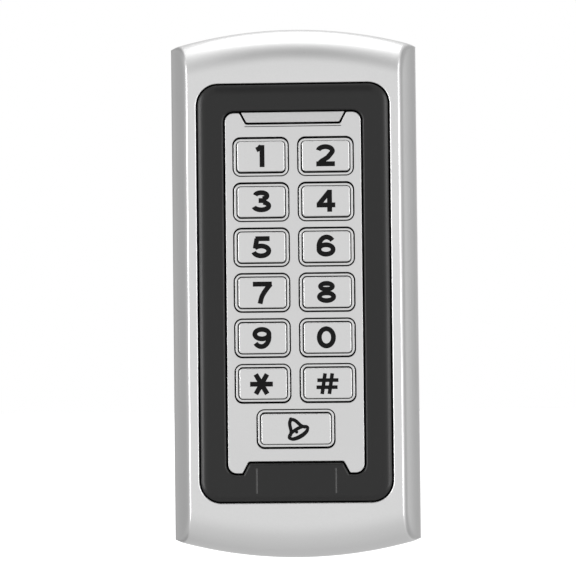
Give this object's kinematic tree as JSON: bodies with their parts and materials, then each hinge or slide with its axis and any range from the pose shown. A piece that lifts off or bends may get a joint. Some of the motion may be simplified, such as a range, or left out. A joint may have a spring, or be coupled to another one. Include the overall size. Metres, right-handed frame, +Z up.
{
  "type": "keypad access reader",
  "caption": "Slim wall-mounted keypad access reader: bowed silver metal case, black window frame, two columns of sprung keys, wide bell key and a status light bar.",
  "frame": {"origin": "centre of the wall plate's back face, on the wall plane", "axes": "+Z up, +Y into the wall, keys face -Y, +X to the right as seen from the front"},
  "size_m": [0.07, 0.025, 0.15],
  "materials": {
    "cast_case": "satin metallic silver paint on a zinc casting",
    "frame_black": "satin black, fine grain",
    "plate_silver": "satin metallic silver paint",
    "key_metal": "satin metallic silver with black legends",
    "light_bar": "translucent light pipe, silver-grey when off",
    "mat_rubber": "matte silicone",
    "copper_wire": "enamelled copper winding",
    "board_green": "solder mask",
    "part_black": "moulded",
    "part_blue": "moulded",
    "part_white": "moulded",
    "part_metal": "drawn can",
    "lamp_red": "tinted lens",
    "lamp_green": "tinted lens",
    "lamp_amber": "tinted lens",
    "cover_plastic": "spark-eroded black moulding",
    "seal_rubber": "matte",
    "zinc_sheet": "zinc plated sheet",
    "screw_steel": "plated"
  },
  "bodies": {
    "reader": {"front_housing": "cast_case", "window_frame": "frame_black", "keypad_plate": "plate_silver", "light_bar": "light_bar", "keypad_mat": "mat_rubber", "aerial_coil": "copper_wire", "main_board": "board_green", "lamp_red": "lamp_red", "lamp_green": "lamp_green", "lamp_amber": "lamp_amber", "relay": "part_blue", "controller_chip": "part_black", "reader_chip": "part_black", "voltage_regulator": "part_black", "crystal": "part_metal", "wire_header": "part_white", "buzzer": "part_black", "capacitor": "part_metal", "tamper_sensor": "part_white", "back_cover": "cover_plastic", "cover_screw_1": "screw_steel", "cover_screw_2": "screw_steel", "cover_screw_3": "screw_steel", "cover_screw_4": "screw_steel", "locking_screw": "screw_steel", "cable_grommet": "seal_rubber", "wall_gasket": "seal_rubber", "wall_plate": "zinc_sheet"},
    "button_1": {"key_1": "key_metal"},
    "button_2": {"key_2": "key_metal"},
    "button_3": {"key_3": "key_metal"},
    "button_4": {"key_4": "key_metal"},
    "button_5": {"key_5": "key_metal"},
    "button_6": {"key_6": "key_metal"},
    "button_7": {"key_7": "key_metal"},
    "button_8": {"key_8": "key_metal"},
    "button_9": {"key_9": "key_metal"},
    "button_0": {"key_0": "key_metal"},
    "button_star": {"key_star": "key_metal"},
    "button_hash": {"key_hash": "key_metal"},
    "button_bell": {"key_bell": "key_metal"}
  },
  "joints": [
    {"name": "press_1", "type": "slide", "parent": "reader", "child": "button_1", "axis": [0, 1, 0], "range_m": [0, 0.0008], "stiffness_N_per_m": 600, "springref_m": -0.002, "deforming": ["keypad_mat"]},
    {"name": "press_2", "type": "slide", "parent": "reader", "child": "button_2", "axis": [0, 1, 0], "range_m": [0, 0.0008], "stiffness_N_per_m": 600, "springref_m": -0.002, "deforming": ["keypad_mat"]},
    {"name": "press_3", "type": "slide", "parent": "reader", "child": "button_3", "axis": [0, 1, 0], "range_m": [0, 0.0008], "stiffness_N_per_m": 600, "springref_m": -0.002, "deforming": ["keypad_mat"]},
    {"name": "press_4", "type": "slide", "parent": "reader", "child": "button_4", "axis": [0, 1, 0], "range_m": [0, 0.0008], "stiffness_N_per_m": 600, "springref_m": -0.002, "deforming": ["keypad_mat"]},
    {"name": "press_5", "type": "slide", "parent": "reader", "child": "button_5", "axis": [0, 1, 0], "range_m": [0, 0.0008], "stiffness_N_per_m": 600, "springref_m": -0.002, "deforming": ["keypad_mat"]},
    {"name": "press_6", "type": "slide", "parent": "reader", "child": "button_6", "axis": [0, 1, 0], "range_m": [0, 0.0008], "stiffness_N_per_m": 600, "springref_m": -0.002, "deforming": ["keypad_mat"]},
    {"name": "press_7", "type": "slide", "parent": "reader", "child": "button_7", "axis": [0, 1, 0], "range_m": [0, 0.0008], "stiffness_N_per_m": 600, "springref_m": -0.002, "deforming": ["keypad_mat"]},
    {"name": "press_8", "type": "slide", "parent": "reader", "child": "button_8", "axis": [0, 1, 0], "range_m": [0, 0.0008], "stiffness_N_per_m": 600, "springref_m": -0.002, "deforming": ["keypad_mat"]},
    {"name": "press_9", "type": "slide", "parent": "reader", "child": "button_9", "axis": [0, 1, 0], "range_m": [0, 0.0008], "stiffness_N_per_m": 600, "springref_m": -0.002, "deforming": ["keypad_mat"]},
    {"name": "press_0", "type": "slide", "parent": "reader", "child": "button_0", "axis": [0, 1, 0], "range_m": [0, 0.0008], "stiffness_N_per_m": 600, "springref_m": -0.002, "deforming": ["keypad_mat"]},
    {"name": "press_star", "type": "slide", "parent": "reader", "child": "button_star", "axis": [0, 1, 0], "range_m": [0, 0.0008], "stiffness_N_per_m": 600, "springref_m": -0.002, "deforming": ["keypad_mat"]},
    {"name": "press_hash", "type": "slide", "parent": "reader", "child": "button_hash", "axis": [0, 1, 0], "range_m": [0, 0.0008], "stiffness_N_per_m": 600, "springref_m": -0.002, "deforming": ["keypad_mat"]},
    {"name": "press_bell", "type": "slide", "parent": "reader", "child": "button_bell", "axis": [0, 1, 0], "range_m": [0, 0.0008], "stiffness_N_per_m": 600, "springref_m": -0.002, "deforming": ["keypad_mat"]}
  ]
}
